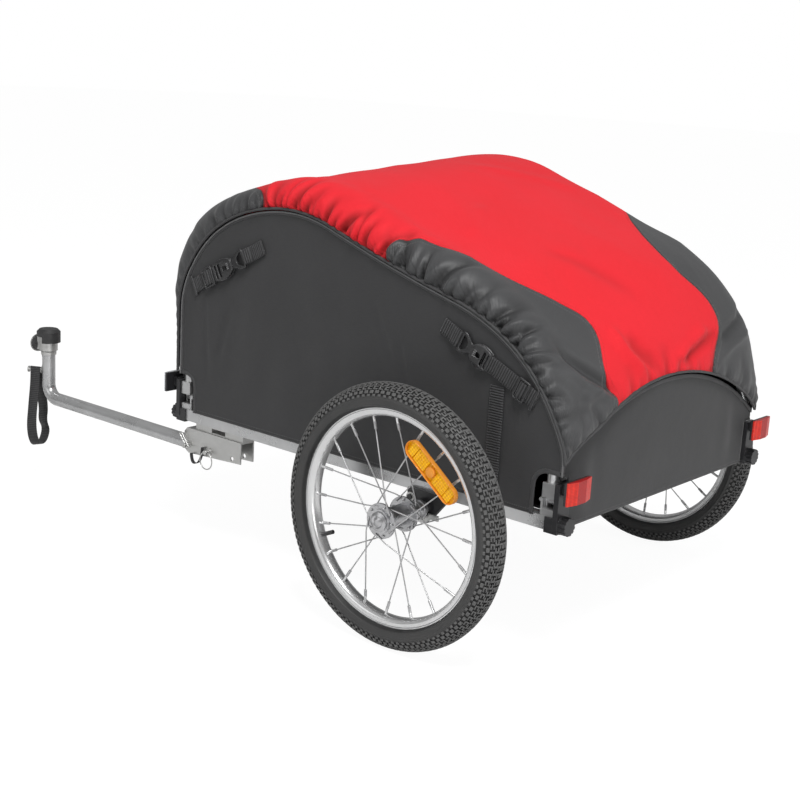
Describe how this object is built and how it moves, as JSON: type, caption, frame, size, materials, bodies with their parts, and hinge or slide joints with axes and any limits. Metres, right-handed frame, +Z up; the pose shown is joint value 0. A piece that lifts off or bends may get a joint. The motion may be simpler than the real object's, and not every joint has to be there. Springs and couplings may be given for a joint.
{
  "type": "bike cargo trailer",
  "caption": "Bike cargo trailer: square-tube frame, fold-down side hoops, fabric walls, lift-off rain cover, spoked push-in wheels and a folding tow bar with a swivel hitch.",
  "frame": {"origin": "ground point under the middle of the whole trailer's outline", "axes": "+X forward to the bike, +Y to the trailer's left, +Z up"},
  "size_m": [1.278, 0.8106, 0.6922],
  "materials": {
    "silver_paint": "silver powder coat",
    "zinc_steel": "zinc plated",
    "chrome": "polished",
    "tyre": "matt",
    "rubber": "matt",
    "black_plastic": "fine grain",
    "red_lens": "prismatic",
    "clear_lens": "prismatic",
    "amber_lens": "prismatic",
    "red_cloth": "coated polyester",
    "grey_cloth": "coated polyester",
    "webbing": "woven"
  },
  "bodies": {
    "chassis": {"side_rail_left": "silver_paint", "side_rail_right": "silver_paint", "front_cross_tube": "silver_paint", "rear_cross_tube": "silver_paint", "axle_cross_tube": "silver_paint", "floor_board": "black_plastic", "frame_bolts": "zinc_steel", "hinge_bases": "silver_paint", "hinge_pins": "zinc_steel", "corner_bumpers": "black_plastic", "reflector_housings": "black_plastic", "rear_reflectors": "red_lens", "front_reflectors": "clear_lens", "axle_receivers": "silver_paint", "receiver_covers": "black_plastic", "tow_bracket": "zinc_steel", "bracket_spacer": "zinc_steel", "lock_pin": "zinc_steel", "front_panel": "grey_cloth", "rear_panel": "grey_cloth"},
    "arch_left": {"side_arch_left": "silver_paint", "side_panel_left": "grey_cloth", "buckle_straps_left": "webbing"},
    "arch_right": {"side_arch_right": "silver_paint", "side_panel_right": "grey_cloth", "buckle_straps_right": "webbing"},
    "cover": {"cover_centre": "red_cloth", "cover_corners": "grey_cloth", "cover_hem": "grey_cloth"},
    "tow_bar": {"tow_bar": "silver_paint", "hitch_collar": "zinc_steel", "safety_strap": "webbing"},
    "hitch_head": {"hitch_head": "zinc_steel", "hitch_cap": "rubber"},
    "coupling": {"coupling_puck": "rubber", "coupling_plate": "zinc_steel"},
    "strap_pin": {"strap_pin": "zinc_steel", "pin_wire": "zinc_steel"},
    "ring_pin": {"ring_pin": "zinc_steel", "pin_lanyard": "webbing"},
    "pull_ring": {"pull_ring": "zinc_steel"},
    "hairpin_clip": {"hairpin_clip": "zinc_steel"},
    "axle_left": {"stub_axle_left": "chrome"},
    "axle_right": {"stub_axle_right": "chrome"},
    "wheel_left": {"tyre_left": "tyre", "rim_left": "chrome", "inner_tube_left": "rubber", "hub_shell_left": "chrome", "hub_bearings_left": "zinc_steel", "spokes_left": "chrome", "spoke_reflector_left": "amber_lens"},
    "wheel_right": {"tyre_right": "tyre", "rim_right": "chrome", "inner_tube_right": "rubber", "hub_shell_right": "chrome", "hub_bearings_right": "zinc_steel", "spokes_right": "chrome", "spoke_reflector_right": "amber_lens"},
    "lever_left": {"release_lever_left": "zinc_steel"},
    "lever_right": {"release_lever_right": "zinc_steel"}
  },
  "joints": [
    {"name": "arch_left_fold", "type": "hinge", "parent": "chassis", "child": "arch_left", "pos_m": [0.1749, 0.277, 0.26], "axis": [1, 0, 0], "range_deg": [0, 90]},
    {"name": "arch_right_fold", "type": "hinge", "parent": "chassis", "child": "arch_right", "pos_m": [0.1749, -0.277, 0.26], "axis": [1, 0, 0], "range_deg": [-80, 0]},
    {"name": "cover_lift", "type": "slide", "parent": "chassis", "child": "cover", "axis": [0, 0, 1], "range_m": [0, 0.35]},
    {"name": "tow_bar_fold", "type": "hinge", "parent": "chassis", "child": "tow_bar", "pos_m": [0.1099, 0.277, 0.177], "axis": [0, 1, 0], "range_deg": [0, 180], "deforming": ["safety_strap"]},
    {"name": "hitch_swivel", "type": "hinge", "parent": "tow_bar", "child": "hitch_head", "pos_m": [0.5949, 0.277, 0.285], "axis": [0, 0, 1], "range_deg": [-60, 60]},
    {"name": "coupling_roll", "type": "hinge", "parent": "hitch_head", "child": "coupling", "pos_m": [0.6169, 0.277, 0.2793], "axis": [1, 0, 0], "range_deg": [-40, 40]},
    {"name": "strap_pin_pull", "type": "slide", "parent": "tow_bar", "child": "strap_pin", "axis": [0.866, 0.5, 0], "range_m": [0, 0.03]},
    {"name": "ring_pin_pull", "type": "slide", "parent": "chassis", "child": "ring_pin", "axis": [0, 1, 0], "range_m": [0, 0.045]},
    {"name": "ring_swing", "type": "hinge", "parent": "ring_pin", "child": "pull_ring", "pos_m": [0.1099, 0.3008, 0.177], "axis": [1, 0, 0], "range_deg": [0, 80]},
    {"name": "clip_pull", "type": "slide", "parent": "chassis", "child": "hairpin_clip", "axis": [0.6428, 0, 0.766], "range_m": [0, 0.03]},
    {"name": "axle_left_release", "type": "slide", "parent": "chassis", "child": "axle_left", "axis": [0, 1, 0], "range_m": [0, 0.06]},
    {"name": "axle_right_release", "type": "slide", "parent": "chassis", "child": "axle_right", "axis": [0, -1, 0], "range_m": [0, 0.06]},
    {"name": "wheel_left_spin", "type": "hinge", "parent": "axle_left", "child": "wheel_left", "pos_m": [-0.3731, 0.3705, 0.2], "axis": [0, 1, 0], "continuous": true},
    {"name": "wheel_right_spin", "type": "hinge", "parent": "axle_right", "child": "wheel_right", "pos_m": [-0.3731, -0.3705, 0.2], "axis": [0, 1, 0], "continuous": true},
    {"name": "lever_left_pull", "type": "hinge", "parent": "chassis", "child": "lever_left", "pos_m": [-0.3491, 0.302, 0.212], "axis": [0, 1, 0], "range_deg": [-25, 0], "stiffness_Nm_per_rad": 0.5, "springref_deg": 11.46},
    {"name": "lever_right_pull", "type": "hinge", "parent": "chassis", "child": "lever_right", "pos_m": [-0.3491, -0.302, 0.212], "axis": [0, 1, 0], "range_deg": [-25, 0], "stiffness_Nm_per_rad": 0.5, "springref_deg": 11.46}
  ]
}
